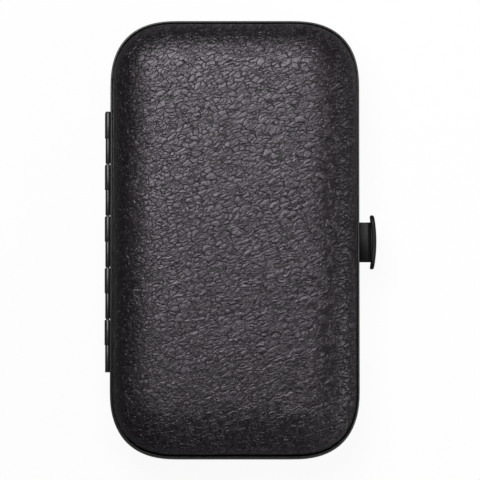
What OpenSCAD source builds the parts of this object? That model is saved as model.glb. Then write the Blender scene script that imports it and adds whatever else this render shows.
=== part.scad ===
// Manicure set case: two padded, leatherette-covered shells in black metal frames, a knuckle hinge along one
// long side, a push-button clasp on the other, and a set of nail tools inside.
// The case lies shut on its back: +Z up, +Y along its length, the hinge at -X and the clasp at +X.
// The origin is the centre of the flat on which it rests.

/* [Case] */
// Length of the metal frame
case_l = 125; // [120:1:150]
// Width of the metal frame, without hinge and clasp
case_w = 71; // [70:1:90]
// Height of each half, from the parting plane to its crown
half_h = 12.5; // [12.3:0.1:16]
// Size of the outline's corners
corner_r = 19.5; // [15:0.5:24]
// Squareness of the outline's corners, 2 for a circle
corner_n = 2.5; // [2:0.1:3]
// Width of the rounded shoulder in plan
shoulder_w = 14; // [12:0.5:17]
// Squareness of the shoulder, 2 for a circle
shoulder_n = 2.3; // [2:0.1:2.6]
// Height of the gentle crown above the shoulder
crown_h = 0.6; // [0.2:0.1:1.2]
// Distance from the skin's edge to the flat middle
crown_w = 24; // [20:1:28]

/* [Layers] */
// Thickness of the leatherette cover
cover_t = 0.7; // [0.5:0.1:1]
// Thickness of the foam under the cover
foam_t = 1.3; // [0.8:0.1:1.5]
// Thickness of the pressed steel shell
shell_t = 0.5; // [0.4:0.1:0.8]
// Thickness of the lid's fabric lining
lining_t = 0.6; // [0.4:0.1:0.8]

/* [Frame] */
// Height of each frame
frame_h = 4; // [3.6:0.1:5]
// Thickness of the frame's outer wall
frame_t = 0.6; // [0.5:0.1:0.9]
// Thickness of the frame's inner wall
frame_inner_t = 0.5; // [0.4:0.1:0.7]
// Thickness of the frame's web at the parting plane
web_t = 0.5; // [0.4:0.1:0.7]
// Gap between the frame's outer wall and the cover
groove_w = 0.3; // [0.1:0.1:0.5]
// Gap between the two closed frames
parting_gap = 0.1; // [0.06:0.02:0.2]

/* [Hinge] */
// Number of knuckles, shared in turn by lid and base
knuckle_count = 10; // [6:1:12]
// Distance from one knuckle to the next
knuckle_pitch = 7.4; // [6:0.1:7.8]
// Gap between two knuckles
knuckle_gap = 0.2; // [0.1:0.05:0.4]
// Outer radius of a knuckle
barrel_r = 1; // [0.95:0.05:1.3]
// Radius of the hinge pin
pin_r = 0.6; // [0.45:0.05:0.65]
// Radial clearance of the pin in its knuckles
pin_clear = 0.025; // [0.015:0.005:0.05]
// Thickness of the tab that carries a knuckle
leaf_t = 0.4; // [0.3:0.05:0.5]
// Distance of the hinge axis outside the frame
axis_out = 0.75; // [0.7:0.05:1]
// Place of hinge and clasp along the case, from its middle
fitting_y = -0.5; // [-2:0.5:2]

/* [Clasp] */
// Width of the button's stem
stem_w = 11.4; // [9:0.2:12]
// Thickness of the stem's sheet
stem_t = 0.8; // [0.6:0.1:1]
// Depth of the stem's upper face below the parting plane
stem_drop = 1.7; // [1.4:0.1:2]
// Width of the thumb pad
pad_w = 15.4; // [13:0.2:18]
// Height of the thumb pad
pad_h = 7; // [6:0.2:8]
// Thickness of the thumb pad
pad_t = 0.9; // [0.7:0.1:1.2]
// How far the pad bows outwards
pad_bow = 1.1; // [0.6:0.1:1.6]
// Gap between the frame and the released pad
pad_gap = 2.9; // [2.6:0.1:4]
// Travel of the button
button_travel = 2; // [1.6:0.1:2.2]
// Width of the hook
hook_w = 9; // [7:0.2:10]
// Thickness of the hook's plate
hook_t = 0.8; // [0.6:0.1:1]
// Height of the catch's lower edge above the parting plane
catch_edge = 1.4; // [1.2:0.1:2]
// How far the hook's nose reaches into the catch
catch_bite = 0.4; // [0.3:0.05:0.5]
// Thickness of the catch, the housing and the hook's nose
clasp_sheet_t = 0.6; // [0.5:0.05:0.7]

/* [Tray] */
// Depth of the tray's face below the parting plane
tray_drop = 3; // [2.9:0.1:3.4]
// Wall of the moulded tray
tray_t = 0.8; // [0.6:0.1:1]
// Depth of the recesses for clipper and tweezers
deep_recess = 5.1; // [5:0.1:5.2]
// Depth of the recesses for file and pusher
shallow_recess = 4.3; // [4.2:0.1:4.6]
// Gap around a tool in its recess
tool_gap = 1.2; // [1:0.1:1.3]
// Radius of the thumb notch beside the clipper
notch_r = 7.2; // [6:0.1:7.2]
// Width of the finger channel across the other recesses
channel_w = 14; // [10:1:18]

/* [Nail clipper] */
// Distance from the clipper's pin to its tail
clipper_l = 46; // [42:1:48]
// Width of the clipper at its jaws
clipper_w = 11; // [9:0.5:12]
// Height of the two leaves at the jaws
clipper_h = 5.2; // [4.8:0.1:5.3]
// Thickness of each leaf
clipper_leaf_t = 1; // [0.8:0.1:1.1]
// Distance from the pin to the lever's tail
lever_l = 42; // [36:1:43]
// Thickness of the lever
lever_t = 1.1; // [0.9:0.1:1.1]

/* [Other tools] */
// Length of the tweezers
tweezers_l = 90; // [80:1:96]
// Width of the tweezers
tweezers_w = 9; // [7:0.5:10]
// Height of the tweezers as they lie
tweezers_h = 5; // [4.4:0.1:5]
// Length of the nail file with its handle
file_l = 96; // [86:1:98]
// Width of the file's blade
file_w = 7; // [5:0.5:7]
// Width of the file's handle
file_handle_w = 8; // [7:0.5:8.5]
// Length of the cuticle pusher
pusher_l = 98; // [90:1:100]
// Radius of the cuticle pusher's handle
pusher_r = 2; // [1.6:0.1:2.1]
// Length of the scissors' blades from the screw
blade_l = 34; // [30:1:36]
// Distance from the scissors' screw to the middle of a finger ring
shank_l = 40; // [36:1:42]
// Thickness of a scissor half
scissor_t = 3; // [2.6:0.1:3]
// Outer radius of a finger ring
ring_r = 9; // [8:0.25:9.25]
// Width of a ring's bar
ring_bar = 2.6; // [2:0.1:2.8]
// Thickness of a ring and its shank
ring_t = 2.2; // [1.8:0.1:2.3]

/* [Hidden] */

corner_steps = 12;
shoulder_steps = 6;
crown_steps = 2;
corner_min = 3;     // smallest corner of an inner ring of the dome
slip = 0.05;        // play between pieces that are pressed or laid together
run = 0.15;         // play around the sliding button
eps = 0.01;
e = 1;              // how far a cutting solid runs past what it cuts

layers_t = cover_t + foam_t + shell_t;
skin_inset = frame_t + groove_w;
frame_w = skin_inset + layers_t + slip + frame_inner_t;
part_z = half_h;                                // height of the parting plane
half_gap = parting_gap / 2;
edge_h = half_gap + web_t + slip;               // where the layers' edges end inside the frame
inner_x = case_w / 2 - frame_w;                 // inner face of the frame at the clasp

leatherette = [0.13, 0.12, 0.13];
foam_grey = [0.55, 0.55, 0.57];
bare_steel = [0.62, 0.63, 0.65];
black_metal = [0.08, 0.08, 0.085];
flock_grey = [0.22, 0.21, 0.22];
polished = [0.78, 0.79, 0.8];

// ---------- outline of the case ----------

// One quarter of the outline: straight sides joined by a superellipse
function quarter(half_x, half_y, r) = [
    for (i = [0 : corner_steps])
        let (a = 90 * i / corner_steps)
            [half_x - r + r * pow(cos(a), 2 / corner_n), half_y - r + r * pow(sin(a), 2 / corner_n)]
];

// The whole outline, drawn in from the frame's edge by inset
function outline(inset) =
    let (
        q = quarter(case_w / 2 - inset, case_l / 2 - inset, max(corner_r - inset, corner_min)),
        last = len(q) - 1
    )
    concat(
        q,
        [for (i = [last : -1 : 0]) [-q[i][0], q[i][1]]],
        [for (p = q) [-p[0], -p[1]]],
        [for (i = [last : -1 : 0]) [q[i][0], -q[i][1]]]
    );

module ring(inset_out, inset_in, z0, z1) {
    translate([0, 0, z0])
        linear_extrude(z1 - z0)
            difference() {
                polygon(outline(inset_out));
                polygon(outline(inset_in));
            }
}

// ---------- the padded dome of one half, with z measured from the parting plane ----------

rise = half_h - frame_h;

function crown(d) = crown_h * (1 - pow(1 - min(d / crown_w, 1), 2));

dome = concat(
    [
        for (i = [0 : shoulder_steps])
            let (
                a = 90 * i / shoulder_steps,
                d = shoulder_w * (1 - pow(cos(a), 2 / shoulder_n))
            )
                [d, frame_h + (rise - crown_h) * pow(sin(a), 2 / shoulder_n) + crown(d)]
    ],
    [
        for (i = [1 : crown_steps])
            let (d = shoulder_w + (crown_w - shoulder_w) * i / crown_steps)
                [d, frame_h + rise - crown_h + crown(d)]
    ]
);

function unit(v) = v / norm(v);

// Direction along the dome's profile at point i: upright at the frame and level at the flat middle
function along(i) = i == 0 ? [0, 1] : i == len(dome) - 1 ? [1, 0] : unit(dome[i + 1] - dome[i - 1]);

// The profile at a depth below the cover's outer face, as pairs of inset and height
function profile(depth, from_h) = concat(
    from_h < frame_h ? [[skin_inset + depth, from_h]] : [],
    [
        for (i = [0 : len(dome) - 1])
            let (t = along(i))
                [skin_inset + dome[i][0] + depth * t[1], dome[i][1] - depth * t[0]]
    ]
);

// Height of the inner face of a stack of layers, at a distance in from the frame's edge
function inner_h(depth, inset) = lookup(inset, profile(depth, 0));

// A closed solid through a row of outlines, each given by its inset and height
module skin(rows) {
    n = len(outline(0));
    points = [for (row = rows) for (p = outline(row[0])) [p[0], p[1], row[1]]];
    last = (len(rows) - 1) * n;
    sides = [
        for (i = [0 : len(rows) - 2])
            for (k = [0 : n - 1])
                let (a = i * n + k, b = i * n + (k + 1) % n)
                    each [[a, a + n, b + n], [a, b + n, b]]
    ];
    polyhedron(points, concat([[for (k = [0 : n - 1]) k]], sides, [[for (k = [n - 1 : -1 : 0]) last + k]]));
}

// One layer of the dome, between two depths below the cover's outer face
module layer(depth_out, depth_in, from_h) {
    inside = profile(depth_in, from_h);
    skin(concat([for (i = [len(inside) - 1 : -1 : 0]) inside[i]], profile(depth_out, from_h)));
}

module lid_place() {
    translate([0, 0, part_z]) children();
}

module base_place() {
    translate([0, 0, part_z]) mirror([0, 0, 1]) children();
}

// ---------- frames and hinge ----------

axis_x = -case_w / 2 - axis_out;
hinge_l = knuckle_count * knuckle_pitch;
notch_clear = 0.25; // play of a knuckle in the other frame's notch

// Middle of knuckle k, counted from the +Y end
function knuckle_y(k) = fitting_y + hinge_l / 2 - knuckle_pitch * (k + 0.5);

// The knuckles of one half: first is 0 for the lid and 1 for the base
module knuckles(first) {
    for (k = [first : 2 : knuckle_count - 1])
        translate([axis_x, knuckle_y(k), 0])
            difference() {
                union() {
                    rotate([90, 0, 0])
                        cylinder(r = barrel_r, h = knuckle_pitch - knuckle_gap, center = true, $fn = 48);
                    translate([0, -(knuckle_pitch - knuckle_gap) / 2, barrel_r - leaf_t])
                        cube([axis_out + frame_t / 2, knuckle_pitch - knuckle_gap, leaf_t]);
                }
                rotate([90, 0, 0])
                    cylinder(r = pin_r + pin_clear, h = knuckle_pitch + e, center = true, $fn = 48);
            }
}

// Room in a frame's outer wall for the other half's knuckles
module knuckle_notches(first) {
    for (k = [first : 2 : knuckle_count - 1])
        translate([-case_w / 2 - e, knuckle_y(k) - (knuckle_pitch + knuckle_gap) / 2, -e])
            cube([e + frame_t, knuckle_pitch + knuckle_gap, e + barrel_r + notch_clear]);
}

// A frame is a channel that grips the edges of cover, foam and shell
module frame(first) {
    difference() {
        ring(0, frame_w, half_gap, frame_h);
        ring(frame_t, frame_w - frame_inner_t, half_gap + web_t, frame_h + e);
        knuckle_notches(1 - first);
    }
    knuckles(first);
}

module hinge_pin() {
    head_r = axis_out - slip;
    head_t = 0.4;
    color(bare_steel)
        translate([axis_x, fitting_y, part_z])
            rotate([90, 0, 0])
                union() {
                    cylinder(r = pin_r, h = hinge_l + head_t, center = true, $fn = 48);
                    for (side = [-1, 1])
                        translate([0, 0, side * (hinge_l + head_t) / 2])
                            cylinder(r = head_r, h = head_t, center = true, $fn = 48);
                }
}

// ---------- base ----------

stem_top = part_z - stem_drop;
stem_bottom = stem_top - stem_t;

// Opening for the stem, from the parting plane down in the layers' edges, or a slot in the frame
module stem_slot(play, to_z) {
    slot_w = stem_w + 2 * play;
    translate([inner_x - e, fitting_y - slot_w / 2, stem_bottom - play])
        cube([frame_w + 2 * e, slot_w, to_z - stem_bottom + play]);
}

module base_layer(depth_out, depth_in) {
    difference() {
        base_place() layer(depth_out, depth_in, edge_h);
        stem_slot(2 * run, part_z);
    }
}

module base_cover() {
    color(leatherette) base_layer(0, cover_t);
}

module base_foam() {
    color(foam_grey) base_layer(cover_t, cover_t + foam_t);
}

module base_shell() {
    color(bare_steel) base_layer(cover_t + foam_t, layers_t);
}

module base_frame() {
    color(black_metal)
        difference() {
            base_place() frame(1);
            stem_slot(run, stem_top + run);
            rivet_holes(housing_rivet_y, housing_rivet_z);
        }
}

// ---------- lid ----------

module lid_cover() {
    color(leatherette) lid_place() layer(0, cover_t, edge_h);
}

module lid_foam() {
    color(foam_grey) lid_place() layer(cover_t, cover_t + foam_t, edge_h);
}

module lid_shell() {
    color(bare_steel) lid_place() layer(cover_t + foam_t, layers_t, edge_h);
}

module lid_frame() {
    color(black_metal)
        difference() {
            lid_place() frame(0);
            rivet_holes(catch_rivet_y, catch_rivet_z);
        }
}

// The lining is glued inside the shell, down to the top of the frame's inner wall
module lid_lining() {
    color(flock_grey) lid_place() layer(layers_t, layers_t + lining_t, frame_h);
}

// ---------- clasp ----------

rivet_r = 0.75;
rivet_head_r = 1.4;
rivet_head_t = 0.5;
clasp_x = inner_x - slip - clasp_sheet_t;       // inner face of the plates riveted to the frames

// Rivets through a plate and a frame's inner wall, one on each side of the clasp's middle
module rivets(y, z) {
    for (side = [-1, 1])
        translate([clasp_x - rivet_head_t, fitting_y + side * y, z])
            rotate([0, 90, 0])
                union() {
                    cylinder(r = rivet_head_r, h = rivet_head_t, $fn = 32);
                    cylinder(r = rivet_r, h = rivet_head_t + clasp_sheet_t + slip + frame_inner_t, $fn = 32);
                }
}

module rivet_holes(y, z) {
    for (side = [-1, 1])
        translate([clasp_x - e, fitting_y + side * y, z])
            rotate([0, 90, 0])
                cylinder(r = rivet_r + slip, h = e + clasp_sheet_t + slip + frame_inner_t + slip, $fn = 32);
}

// The catch is a plate with a window, whose lower edge the hook holds
window_h = 1.4;
window_play = 0.7;
rivet_margin = 1.3;                              // metal left beside a rivet's head
catch_rivet_y = hook_w / 2 + window_play + rivet_margin + rivet_head_r;
catch_rivet_z = part_z + catch_edge + window_h / 2;
catch_w = 2 * (catch_rivet_y + rivet_head_r + rivet_margin);
catch_foot = half_gap + 0.1;                     // lower edge of the plate, above the parting plane
catch_top = frame_h - 0.3;

module lid_catch() {
    color(bare_steel)
        difference() {
            translate([clasp_x, fitting_y - catch_w / 2, part_z + catch_foot])
                cube([clasp_sheet_t, catch_w, catch_top - catch_foot]);
            translate([clasp_x - e, fitting_y - hook_w / 2 - window_play, part_z + catch_edge])
                cube([clasp_sheet_t + 2 * e, hook_w + 2 * window_play, window_h]);
            rivet_holes(catch_rivet_y, catch_rivet_z);
        }
}

module catch_rivets() {
    color(bare_steel) rivets(catch_rivet_y, catch_rivet_z);
}

// The button: a pad and stem outside, a hook inside
nose_gap = 0.1;                                  // play between the nose and the catch's edge
nose_bottom = part_z + catch_edge + nose_gap;
nose_t = 0.7;
nose_edge = 0.25;                                // thickness of the nose at its end
hook_gap = 0.9;                                  // between the hook's plate and the catch
hook_x = clasp_x - hook_gap - hook_t;            // inner face of the hook's plate
pad_x = case_w / 2 + pad_gap;                    // inner face of the pad at its tips
pad_R = pad_w * pad_w / (8 * pad_bow) + pad_bow / 2;
pad_corner = 2.6;
bend_r = 1.5;

// The pad seen from above: a bowed strip, a little longer than the pad
module pad_plan() {
    intersection() {
        translate([pad_bow + pad_t - pad_R, 0])
            difference() {
                circle(r = pad_R, $fn = 180);
                circle(r = pad_R - pad_t, $fn = 180);
            }
        translate([-e, -pad_w / 2 - e]) square([pad_bow + pad_t + 2 * e, pad_w + 2 * e]);
    }
}

// The pad seen from outside: a rectangle with round corners
module pad_face() {
    square([pad_h, pad_w - 2 * pad_corner], center = true);
    square([pad_h - 2 * pad_corner, pad_w], center = true);
    for (i = [-1, 1], j = [-1, 1])
        translate([i * (pad_h / 2 - pad_corner), j * (pad_w / 2 - pad_corner)])
            circle(r = pad_corner, $fn = 32);
}

module release_button() {
    pad_mid = (stem_top + stem_bottom) / 2;
    pad_mid_x = pad_x + pad_bow;    // inner face of the pad at its middle
    stem_end = pad_mid_x + pad_t / 4;
    color(black_metal)
        translate([0, fitting_y, 0]) {
            // pad
            intersection() {
                translate([pad_x, 0, pad_mid - pad_h / 2])
                    linear_extrude(pad_h) pad_plan();
                translate([pad_x - e, 0, pad_mid])
                    rotate([0, 90, 0]) linear_extrude(pad_bow + pad_t + 2 * e) pad_face();
            }
            // stem, with the bend that turns up into the pad
            translate([hook_x, -stem_w / 2, stem_bottom])
                cube([stem_end - hook_x, stem_w, stem_t]);
            difference() {
                translate([pad_mid_x - bend_r, -stem_w / 2, stem_top - eps])
                    cube([stem_end - pad_mid_x + bend_r, stem_w, bend_r]);
                translate([pad_mid_x - bend_r, 0, stem_top + bend_r])
                    rotate([90, 0, 0]) cylinder(r = bend_r, h = stem_w + e, center = true, $fn = 48);
            }
            // hook, with a nose that is sloped above so that the lid can push it aside
            translate([hook_x, -hook_w / 2, stem_bottom])
                cube([hook_t, hook_w, nose_bottom + nose_t - stem_bottom]);
            translate([0, hook_w / 2, 0])
                rotate([90, 0, 0])
                    linear_extrude(hook_w)
                        polygon([
                            [hook_x + hook_t - eps, nose_bottom],
                            [clasp_x + catch_bite, nose_bottom],
                            [clasp_x + catch_bite, nose_bottom + nose_edge],
                            [hook_x + hook_t - eps, nose_bottom + nose_t]
                        ]);
        }
}

// The housing guides the stem's inner end and backs the spring
housing_half_w = stem_w / 2 + 0.7;
flange_margin = 1;                               // from a rivet's head to the flange's end or the cheek
housing_rivet_y = housing_half_w + clasp_sheet_t + flange_margin + rivet_head_r;
housing_rivet_z = (stem_top + stem_bottom) / 2;
housing_floor = stem_bottom - run;
housing_top = part_z - 0.3;
housing_h = housing_top - housing_floor + clasp_sheet_t;
spring_room = button_travel + 0.55;
housing_back = hook_x - spring_room;             // face on which the spring rests

module clasp_housing() {
    flange_w = 2 * (flange_margin + rivet_head_r);
    outer_back = housing_back - clasp_sheet_t;
    depth = clasp_x + clasp_sheet_t - outer_back;
    color(bare_steel)
        difference() {
            translate([0, fitting_y, housing_floor - clasp_sheet_t]) {
                // floor
                translate([outer_back, -housing_half_w, 0])
                    cube([depth, 2 * housing_half_w, clasp_sheet_t]);
                // back
                translate([outer_back, -housing_half_w, 0])
                    cube([clasp_sheet_t, 2 * housing_half_w, housing_h]);
                // cheeks and flanges
                for (side = [0, 1])
                    mirror([0, side, 0]) {
                        translate([outer_back, housing_half_w, 0])
                            cube([depth, clasp_sheet_t, housing_h]);
                        translate([clasp_x, housing_half_w, 0])
                            cube([clasp_sheet_t, clasp_sheet_t + flange_w, housing_h]);
                    }
            }
            rivet_holes(housing_rivet_y, housing_rivet_z);
        }
}

module housing_rivets() {
    color(bare_steel) rivets(housing_rivet_y, housing_rivet_z);
}

// A bowed leaf of spring steel between the housing's back and the hook
module clasp_spring() {
    spring_t = 0.25;
    spring_w = stem_w - 0.6;
    bow = spring_room - spring_t - 2 * slip;
    spring_R = spring_w * spring_w / (8 * bow) + bow / 2;
    z0 = stem_bottom;
    color(polished)
        translate([hook_x - slip - spring_R, fitting_y, z0])
            linear_extrude(housing_top - z0)
                intersection() {
                    difference() {
                        circle(r = spring_R, $fn = 120);
                        circle(r = spring_R - spring_t, $fn = 120);
                    }
                    translate([spring_R - bow - spring_t, -spring_w / 2])
                        square([bow + spring_t + e, spring_w]);
                }
}

// ---------- tray ----------

tray_top = part_z - tray_drop;
tray_inset = frame_w + 2 * slip;
deep_floor = tray_top - deep_recess;
shallow_floor = tray_top - shallow_recess;
tray_lip_top = part_z - 0.6;
recess_r = 2;
channel_r = 5;

// Place of each tool across the case
clipper_x = -19;
tweezers_x = -4;
file_x = 9;
pusher_x = 20.4;
clipper_pin_y = 8;
channel_y = 27;
channel_x0 = -17;   // the channel starts beside the tweezers and ends with the pusher's recess

clipper_front = 6;                               // from the pin to the jaws' cutting edges

module round_rect(x0, x1, y0, y1, r) {
    translate([x0 + r, y0]) square([x1 - x0 - 2 * r, y1 - y0]);
    translate([x0, y0 + r]) square([x1 - x0, y1 - y0 - 2 * r]);
    for (x = [x0 + r, x1 - r], y = [y0 + r, y1 - r])
        translate([x, y]) circle(r = r, $fn = 32);
}

// A recess seen from above: room for a tool of this width and length
module recess_plan(x, w, y0, y1, grow) {
    round_rect(x - w / 2 - tool_gap - grow, x + w / 2 + tool_gap + grow,
        y0 - tool_gap - grow, y1 + tool_gap + grow, recess_r + grow);
}

// The recesses with their thumb notch and finger channel, grown by the wall's thickness for their outside
module recesses(grow, top) {
    translate([0, 0, deep_floor - grow])
        linear_extrude(top - deep_floor + grow) {
            recess_plan(clipper_x, clipper_w, clipper_pin_y - clipper_l, clipper_pin_y + clipper_front, grow);
            translate([clipper_x, clipper_pin_y - clipper_l / 2]) circle(r = notch_r + grow, $fn = 64);
        }
    translate([0, 0, deep_floor - grow])
        linear_extrude(top - deep_floor + grow)
            recess_plan(tweezers_x, tweezers_w, -tweezers_l / 2, tweezers_l / 2, grow);
    translate([0, 0, shallow_floor - grow])
        linear_extrude(top - shallow_floor + grow) {
            recess_plan(file_x, file_handle_w, -file_l / 2, file_l / 2, grow);
            recess_plan(pusher_x, pusher_tip_w, -pusher_l / 2, pusher_l / 2, grow);
            round_rect(channel_x0 - grow, pusher_x + pusher_tip_w / 2 + tool_gap + grow,
                channel_y - channel_w / 2 - grow, channel_y + channel_w / 2 + grow, channel_r + grow);
        }
}

// The tray is moulded in one sheet and covered with flock
module base_tray() {
    clasp_room = housing_rivet_y + rivet_head_r + 1.6;
    color(flock_grey)
        difference() {
            union() {
                translate([0, 0, tray_top - tray_t])
                    linear_extrude(tray_t) polygon(outline(tray_inset));
                ring(tray_inset, tray_inset + tray_t, tray_top - tray_t, tray_lip_top);
                recesses(tray_t, tray_top - tray_t / 2);
            }
            recesses(0, part_z);
            translate([housing_back - clasp_sheet_t - 0.4, fitting_y - clasp_room, 0])
                cube([case_w, 2 * clasp_room, part_z]);
        }
}

// ---------- nail clipper, with its pin at the origin and its jaws towards +Y ----------

pin_head_t = 0.5;
clipper_pin_r = 1.2;
clipper_pin_clear = 0.1;
clipper_leaf_z = deep_floor + slip + pin_head_t + slip;
clipper_rivet_r = 1.2;
clipper_rivet_y = 5 - clipper_l;
clipper_shoulder = 4;                            // from the pin back to where the sides start to taper
clipper_flat = 12;                               // length over which the two leaves lie flat at the tail
tail_r = clipper_w * 0.36;
lever_gap = 0.15;
lever_z = clipper_leaf_z + clipper_h + lever_gap;
lever_neck_r = 0.9;

module clipper_place() {
    translate([clipper_x, clipper_pin_y, 0]) children();
}

// Outline of leaf and lever from above: widest at the jaws, round at the tail
module clipper_plan(front, length, w) {
    tail_y = tail_r - length;
    polygon([
        [-w / 2, front], [-w / 2, -clipper_shoulder], [-tail_r, tail_y],
        [tail_r, tail_y], [w / 2, -clipper_shoulder], [w / 2, front]
    ]);
    translate([0, tail_y]) circle(r = tail_r, $fn = 48);
}

// The lower leaf: flat at the tail, sprung apart to the pin, then turned in to its cutting edge
module clipper_leaf() {
    t = clipper_leaf_t;
    inner = clipper_h / 2 - slip;                    // inner face at the tail
    edge = clipper_h / 2 - 0.25;                     // inner face at the open jaws
    edge_t = 0.5;
    edge_l = 0.8;
    flat_y = clipper_l - clipper_flat;
    jaw_y = 3;                                       // the jaw turns in from here
    turn = 0.5;                                      // offset of the bends between outer and inner face
    difference() {
        intersection() {
            translate([clipper_w, 0, 0])
                rotate([90, 0, -90])
                    linear_extrude(2 * clipper_w)
                        polygon([
                            [clipper_l, inner - t], [flat_y, inner - t], [clipper_shoulder, 0], [-jaw_y, 0],
                            [-clipper_front, edge - edge_t], [-clipper_front, edge],
                            [-clipper_front + edge_l, edge], [turn - jaw_y, t],
                            [clipper_shoulder - turn, t], [flat_y - turn, inner], [clipper_l, inner]
                        ]);
            linear_extrude(clipper_h) clipper_plan(clipper_front, clipper_l, clipper_w);
        }
        translate([0, 0, -e]) cylinder(r = clipper_pin_r + clipper_pin_clear, h = clipper_h, $fn = 48);
        translate([0, clipper_rivet_y, -e]) cylinder(r = clipper_rivet_r + slip, h = clipper_h, $fn = 48);
    }
}

module clipper_lower_leaf() {
    color(polished) clipper_place() translate([0, 0, clipper_leaf_z]) clipper_leaf();
}

module clipper_upper_leaf() {
    color(polished)
        clipper_place()
            translate([0, 0, clipper_leaf_z + clipper_h]) mirror([0, 0, 1]) clipper_leaf();
}

module clipper_rivet() {
    stack = clipper_leaf_t + 2 * slip;
    head_t = 0.45;
    color(polished)
        clipper_place()
            translate([0, clipper_rivet_y, clipper_leaf_z + clipper_h / 2]) {
                cylinder(r = clipper_rivet_r, h = 2 * stack + head_t, center = true, $fn = 48);
                for (side = [-1, 1])
                    translate([0, 0, side * (stack + head_t / 2)])
                        cylinder(r = clipper_rivet_r + 0.8, h = head_t, center = true, $fn = 48);
            }
}

// The lever, folded along the leaves and slightly arched
module clipper_lever() {
    arch = 0.4;
    steps = 12;
    front = 3;
    span = lever_l + front;
    function lift(y) = arch * sin(180 * (y + lever_l) / span);
    ys = [for (i = [0 : steps]) -lever_l + span * i / steps];
    color(polished)
        clipper_place()
            translate([0, 0, lever_z])
                difference() {
                    intersection() {
                        translate([clipper_w, 0, 0])
                            rotate([90, 0, -90])
                                linear_extrude(2 * clipper_w)
                                    polygon(concat(
                                        [for (y = ys) [-y, lift(y)]],
                                        [for (i = [steps : -1 : 0]) [-ys[i], lift(ys[i]) + lever_t]]
                                    ));
                        linear_extrude(arch + lever_t + e) clipper_plan(front, lever_l, clipper_w - 1);
                    }
                    translate([0, 0, -e]) cylinder(r = lever_neck_r + slip, h = lever_t + 3 * e, $fn = 48);
                }
}

module clipper_pin() {
    foot_z = deep_floor + slip;
    neck_z = lever_z - 2 * slip;
    cap_z = lever_z + lever_t + lever_gap;
    cap_t = 0.5;
    color(polished)
        clipper_place() {
            translate([0, 0, foot_z]) cylinder(r = clipper_pin_r + 0.7, h = pin_head_t, $fn = 48);
            translate([0, 0, foot_z]) cylinder(r = clipper_pin_r, h = neck_z - foot_z, $fn = 48);
            translate([0, 0, foot_z]) cylinder(r = lever_neck_r, h = cap_z + cap_t - foot_z, $fn = 48);
            translate([0, 0, cap_z]) cylinder(r = clipper_pin_r + 0.1, h = cap_t, $fn = 48);
        }
}

// ---------- tweezers: two bowed arms joined at the tail ----------

tweezers_z = deep_floor + slip;
tweezers_arm_t = 0.9;
tweezers_joint = 8;                              // length over which the arms are welded
tweezers_tip_gap = 0.7;
tweezers_tip_w = 2.6;
tweezers_slant = 1.5;                            // how far one side of the slanted tip stands back
tweezers_tail_r = 0.34 * tweezers_w;
tweezers_wide_y = 0.16 * tweezers_l;             // from here the arms taper to the tip

// Outline from above: round at the tail, slanted at the tip
module tweezers_plan() {
    half_l = tweezers_l / 2;
    half_w = tweezers_w / 2;
    tail_y = tweezers_tail_r - half_l;
    polygon([
        [-tweezers_tail_r, tail_y], [tweezers_tail_r, tail_y], [half_w, 0], [half_w, tweezers_wide_y],
        [tweezers_tip_w / 2, half_l - tweezers_slant], [-tweezers_tip_w / 2, half_l],
        [-half_w, tweezers_wide_y], [-half_w, 0]
    ]);
    translate([0, tail_y]) circle(r = tweezers_tail_r, $fn = 48);
}

// Height of the upper arm's inner face above the middle: most past half way, little at the tip
function tweezers_spread(y) =
    let (
        room = tweezers_h / 2 - tweezers_arm_t,
        u = max(0, (y + tweezers_l / 2 - tweezers_joint) / (tweezers_l - tweezers_joint))
    )
        min(room, 1.2 * room * sin(150 * pow(u, 0.9)) + tweezers_tip_gap / 2 * u);

module tweezers_arm() {
    steps = 20;
    ys = [for (i = [0 : steps]) -tweezers_l / 2 + tweezers_l * i / steps];
    inner = [for (y = ys) [-y, tweezers_spread(y) == 0 ? -eps : tweezers_spread(y)]];
    outer = [for (i = [steps : -1 : 0]) [-ys[i], tweezers_spread(ys[i]) + tweezers_arm_t]];
    translate([tweezers_w, 0, 0])
        rotate([90, 0, -90])
            linear_extrude(2 * tweezers_w) polygon(concat(inner, outer));
}

module tweezers() {
    color(polished)
        translate([tweezers_x, 0, tweezers_z])
            intersection() {
                translate([0, 0, tweezers_h / 2])
                    for (side = [0, 1])
                        mirror([0, 0, side]) tweezers_arm();
                linear_extrude(tweezers_h) tweezers_plan();
            }
}

// ---------- nail file ----------

file_handle_l = 34;
file_handle_t = shallow_recess - 0.3;
file_tang = 8;
file_blade_t = 0.9;
file_z = shallow_floor + slip;
file_point_l = 22;                               // length of the blade's tapered end
file_point_r = 1.25;

module file_blade() {
    y0 = -file_l / 2 + file_handle_l - file_tang;
    tip = file_l / 2;
    half_w = file_w / 2;
    color(bare_steel)
        translate([file_x, 0, file_z + (file_handle_t - file_blade_t) / 2])
            linear_extrude(file_blade_t) {
                polygon([
                    [-half_w, y0], [half_w, y0], [half_w, tip - file_point_l],
                    [file_point_r, tip - file_point_r], [-file_point_r, tip - file_point_r],
                    [-half_w, tip - file_point_l]
                ]);
                translate([0, tip - file_point_r]) circle(r = file_point_r, $fn = 32);
            }
}

module file_handle() {
    y0 = -file_l / 2;
    r = file_handle_t / 2;
    color(black_metal)
        difference() {
            translate([file_x, 0, file_z])
                intersection() {
                    linear_extrude(file_handle_t)
                        round_rect(-file_handle_w / 2, file_handle_w / 2, y0, y0 + file_handle_l, 3);
                    translate([0, y0 + file_handle_l, 0])
                        rotate([90, 0, 0])
                            linear_extrude(file_handle_l)
                                round_rect(-file_handle_w / 2, file_handle_w / 2, 0, file_handle_t, r - eps);
                }
            translate([
                file_x - file_w / 2 - slip,
                y0 + file_handle_l - file_tang - slip,
                file_z + (file_handle_t - file_blade_t) / 2 - slip
            ])
                cube([file_w + 2 * slip, file_tang + e, file_blade_t + 2 * slip]);
        }
}

// ---------- cuticle pusher: a grooved rod with a spoon and a narrow scraper ----------

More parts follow.
